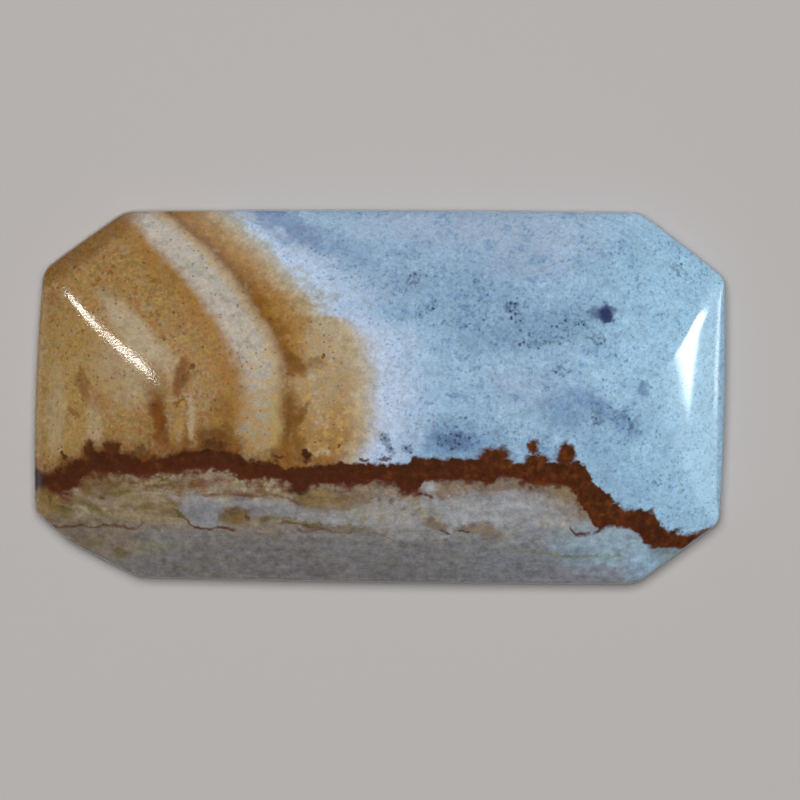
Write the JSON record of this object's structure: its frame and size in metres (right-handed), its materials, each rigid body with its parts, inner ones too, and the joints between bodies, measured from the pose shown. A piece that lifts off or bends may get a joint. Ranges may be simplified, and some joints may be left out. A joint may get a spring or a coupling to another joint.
{
  "type": "picture jasper cabochon",
  "caption": "Polished picture jasper cabochon: a long cut-corner rectangle with a low soft-ridged dome over a flat back, to lie loose or be set in a bezel.",
  "frame": {"origin": "middle of the outline's box, on the flat back", "axes": "+X along the stone, +Y across it towards its pale blue side, +Z out of the dome"},
  "size_m": [0.0414, 0.0226, 0.0055],
  "materials": {
    "picture_jasper": "polished, glossy top and girdle over a satin lapped back"
  },
  "bodies": {
    "root": {"stone": "picture_jasper"}
  },
  "joints": []
}
